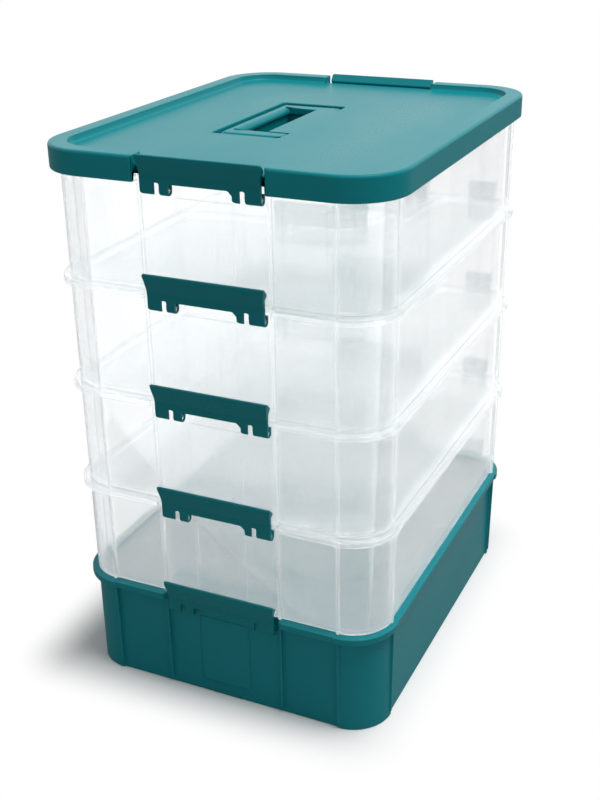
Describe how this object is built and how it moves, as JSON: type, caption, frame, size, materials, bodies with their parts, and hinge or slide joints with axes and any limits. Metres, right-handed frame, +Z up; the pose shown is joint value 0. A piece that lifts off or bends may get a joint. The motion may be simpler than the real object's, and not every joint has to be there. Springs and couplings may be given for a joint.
{
  "type": "stacking storage box",
  "caption": "Box of open stacking trays under a lid with a folding handle, clipped together by swinging latches on its short sides, for craft supplies.",
  "frame": {"origin": "centre of the base tray's underside, on the floor", "axes": "+Z up through the stack, +X along the short sides that carry the latches, -Y out of the front latches"},
  "size_m": [0.26, 0.326, 0.4184],
  "materials": {
    "lid_plastic": "satin moulded polypropylene",
    "latch_plastic": "satin moulded polypropylene",
    "base_plastic": "satin moulded polypropylene",
    "clear_plastic": "clear moulded polypropylene"
  },
  "bodies": {
    "base": {"base_tray": "base_plastic"},
    "tray_4": {"tray_4": "clear_plastic"},
    "tray_3": {"tray_3": "clear_plastic"},
    "tray_2": {"tray_2": "clear_plastic"},
    "tray_1": {"tray_1": "clear_plastic"},
    "lid": {"lid": "lid_plastic"},
    "handle": {"lid_handle": "lid_plastic"},
    "latch_front_5": {"latch_front_5": "latch_plastic"},
    "latch_back_5": {"latch_back_5": "latch_plastic"},
    "latch_front_4": {"latch_front_4": "latch_plastic"},
    "latch_back_4": {"latch_back_4": "latch_plastic"},
    "latch_front_3": {"latch_front_3": "latch_plastic"},
    "latch_back_3": {"latch_back_3": "latch_plastic"},
    "latch_front_2": {"latch_front_2": "latch_plastic"},
    "latch_back_2": {"latch_back_2": "latch_plastic"},
    "latch_front_1": {"latch_front_1": "latch_plastic"},
    "latch_back_1": {"latch_back_1": "latch_plastic"}
  },
  "joints": [
    {"name": "tray_4_lift", "type": "slide", "parent": "base", "child": "tray_4", "axis": [0, 0, 1], "range_m": [0, 0.04]},
    {"name": "latch_front_5_swing", "type": "hinge", "parent": "base", "child": "latch_front_5", "pos_m": [0, -0.1573, 0.0737], "axis": [1, 0, 0], "range_deg": [0, 165]},
    {"name": "latch_back_5_swing", "type": "hinge", "parent": "base", "child": "latch_back_5", "pos_m": [0, 0.1573, 0.0737], "axis": [-1, 0, 0], "range_deg": [0, 165]},
    {"name": "tray_3_lift", "type": "slide", "parent": "tray_4", "child": "tray_3", "axis": [0, 0, 1], "range_m": [0, 0.04]},
    {"name": "latch_front_4_swing", "type": "hinge", "parent": "tray_4", "child": "latch_front_4", "pos_m": [0, -0.1573, 0.154], "axis": [1, 0, 0], "range_deg": [0, 165]},
    {"name": "latch_back_4_swing", "type": "hinge", "parent": "tray_4", "child": "latch_back_4", "pos_m": [0, 0.1573, 0.154], "axis": [-1, 0, 0], "range_deg": [0, 165]},
    {"name": "tray_2_lift", "type": "slide", "parent": "tray_3", "child": "tray_2", "axis": [0, 0, 1], "range_m": [0, 0.04]},
    {"name": "latch_front_3_swing", "type": "hinge", "parent": "tray_3", "child": "latch_front_3", "pos_m": [0, -0.1573, 0.2343], "axis": [1, 0, 0], "range_deg": [0, 165]},
    {"name": "latch_back_3_swing", "type": "hinge", "parent": "tray_3", "child": "latch_back_3", "pos_m": [0, 0.1573, 0.2343], "axis": [-1, 0, 0], "range_deg": [0, 165]},
    {"name": "tray_1_lift", "type": "slide", "parent": "tray_2", "child": "tray_1", "axis": [0, 0, 1], "range_m": [0, 0.04]},
    {"name": "latch_front_2_swing", "type": "hinge", "parent": "tray_2", "child": "latch_front_2", "pos_m": [0, -0.1573, 0.3146], "axis": [1, 0, 0], "range_deg": [0, 165]},
    {"name": "latch_back_2_swing", "type": "hinge", "parent": "tray_2", "child": "latch_back_2", "pos_m": [0, 0.1573, 0.3146], "axis": [-1, 0, 0], "range_deg": [0, 165]},
    {"name": "lid_lift", "type": "slide", "parent": "tray_1", "child": "lid", "axis": [0, 0, 1], "range_m": [0, 0.04]},
    {"name": "latch_front_1_swing", "type": "hinge", "parent": "tray_1", "child": "latch_front_1", "pos_m": [0, -0.1573, 0.3949], "axis": [1, 0, 0], "range_deg": [0, 165]},
    {"name": "latch_back_1_swing", "type": "hinge", "parent": "tray_1", "child": "latch_back_1", "pos_m": [0, 0.1573, 0.3949], "axis": [-1, 0, 0], "range_deg": [0, 165]},
    {"name": "handle_fold", "type": "hinge", "parent": "lid", "child": "handle", "pos_m": [0.0061, 0, 0.4091], "axis": [0, 1, 0], "range_deg": [0, 90]}
  ],
  "couplings": [
    {"joint": "latch_front_5_swing", "follows": "tray_4_lift", "rad_per_m": 71.994},
    {"joint": "latch_back_5_swing", "follows": "tray_4_lift", "rad_per_m": 71.994},
    {"joint": "latch_front_4_swing", "follows": "tray_3_lift", "rad_per_m": 71.994},
    {"joint": "latch_back_4_swing", "follows": "tray_3_lift", "rad_per_m": 71.994},
    {"joint": "latch_front_3_swing", "follows": "tray_2_lift", "rad_per_m": 71.994},
    {"joint": "latch_back_3_swing", "follows": "tray_2_lift", "rad_per_m": 71.994},
    {"joint": "latch_front_2_swing", "follows": "tray_1_lift", "rad_per_m": 71.994},
    {"joint": "latch_back_2_swing", "follows": "tray_1_lift", "rad_per_m": 71.994},
    {"joint": "latch_front_1_swing", "follows": "lid_lift", "rad_per_m": 71.994},
    {"joint": "latch_back_1_swing", "follows": "lid_lift", "rad_per_m": 71.994}
  ]
}
